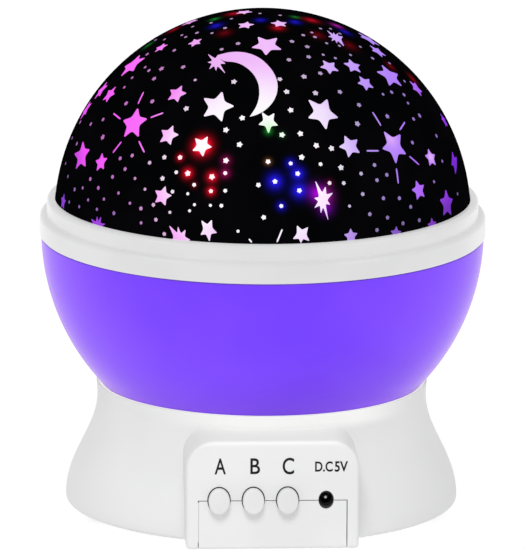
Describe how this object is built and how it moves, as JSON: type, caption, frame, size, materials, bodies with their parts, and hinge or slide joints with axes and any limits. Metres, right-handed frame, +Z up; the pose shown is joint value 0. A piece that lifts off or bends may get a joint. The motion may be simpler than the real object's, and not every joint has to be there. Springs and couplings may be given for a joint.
{
  "type": "star night light projector",
  "caption": "Tabletop star projector night light: flared white base with oval push buttons and a power jack, a violet bowl that turns, and a black lift-off dome pierced by stars and a moon.",
  "frame": {"origin": "on the surface the feet stand on, under the centre of the bowl and dome", "axes": "+Z up along the turning axis; the control panel faces -Y; +X to the right of someone facing it"},
  "size_m": [0.128, 0.128, 0.145],
  "materials": {
    "white_shell": "glossy white moulded plastic",
    "purple_shell": "glossy violet moulded plastic",
    "black_mask": "black printed dome with clear star windows",
    "frosted": "frosted clear diffuser",
    "inner_white": "matt white moulded plastic",
    "nylon": "natural nylon gear",
    "rubber": "soft rubber pad",
    "steel": "zinc plated steel",
    "motor_steel": "pressed steel can",
    "cell_wrap": "plain wrapped cell",
    "board_green": "solder mask on glass laminate",
    "black_plastic": "matt black moulded plastic",
    "chip": "black moulded package",
    "capacitor_sleeve": "sleeved can",
    "lead_sleeve": "thin wire sleeve",
    "lamp_warm": "clear lamp, warm",
    "lamp_red": "clear lamp, red",
    "lamp_green": "clear lamp, green",
    "lamp_blue": "clear lamp, blue"
  },
  "bodies": {
    "base": {"base_housing": "white_shell", "base_cover": "white_shell", "cover_screws": "steel", "rubber_feet": "rubber", "battery_cells": "cell_wrap", "contact_springs": "steel", "contact_plates": "steel", "chassis_plate": "inner_white", "chassis_screws": "steel", "motor_case": "motor_steel", "motor_screws": "steel", "idler_axle": "steel", "thrust_washer": "nylon", "lamp_holder": "inner_white", "lamp_board": "board_green", "lamp_lead": "lead_sleeve", "motor_lead": "lead_sleeve", "battery_lead": "lead_sleeve", "control_board": "board_green", "board_screws": "steel", "push_switches": "black_plastic", "dc_jack": "black_plastic", "jack_pin": "steel", "controller_chip": "chip", "smoothing_capacitor": "capacitor_sleeve", "resistors": "chip", "lamp_warm": "lamp_warm", "lamp_red": "lamp_red", "lamp_green": "lamp_green", "lamp_blue": "lamp_blue"},
    "turret": {"turntable_hub": "inner_white", "hub_gear": "nylon", "gear_screws": "steel", "bowl_screws": "steel", "bowl_shell": "purple_shell", "rim_collar": "white_shell"},
    "dome": {"dome_ring": "white_shell", "retainer_ring": "inner_white", "star_dome": "black_mask", "diffuser_dome": "frosted"},
    "idler": {"idler_gear": "nylon"},
    "pinion": {"output_shaft": "steel", "drive_pinion": "nylon"},
    "door": {"battery_door": "white_shell", "door_screws": "steel"},
    "button_a": {"button_a": "white_shell", "switch_plunger_a": "black_plastic"},
    "button_b": {"button_b": "white_shell", "switch_plunger_b": "black_plastic"},
    "button_c": {"button_c": "white_shell", "switch_plunger_c": "black_plastic"}
  },
  "joints": [
    {"name": "turret_spin", "type": "hinge", "parent": "base", "child": "turret", "pos_m": [0, 0, 0.05], "axis": [0, 0, 1], "continuous": true},
    {"name": "dome_lift", "type": "slide", "parent": "turret", "child": "dome", "axis": [0, 0, 1], "range_m": [0, 0.1]},
    {"name": "idler_spin", "type": "hinge", "parent": "base", "child": "idler", "pos_m": [0.02278, 0.00757, 0.02], "axis": [0, 0, 1], "continuous": true},
    {"name": "pinion_spin", "type": "hinge", "parent": "base", "child": "pinion", "pos_m": [0.038, 0, 0.02], "axis": [0, 0, 1], "continuous": true},
    {"name": "door_slide", "type": "slide", "parent": "base", "child": "door", "axis": [0, 0, -1], "range_m": [0, 0.03]},
    {"name": "button_a_press", "type": "slide", "parent": "base", "child": "button_a", "axis": [0, 1, 0], "range_m": [0, 0.0015], "stiffness_N_per_m": 400, "springref_m": -0.001},
    {"name": "button_b_press", "type": "slide", "parent": "base", "child": "button_b", "axis": [0, 1, 0], "range_m": [0, 0.0015], "stiffness_N_per_m": 400, "springref_m": -0.001},
    {"name": "button_c_press", "type": "slide", "parent": "base", "child": "button_c", "axis": [0, 1, 0], "range_m": [0, 0.0015], "stiffness_N_per_m": 400, "springref_m": -0.001}
  ],
  "couplings": [
    {"joint": "idler_spin", "follows": "turret_spin", "ratio": -3},
    {"joint": "pinion_spin", "follows": "turret_spin", "ratio": 7.2}
  ]
}
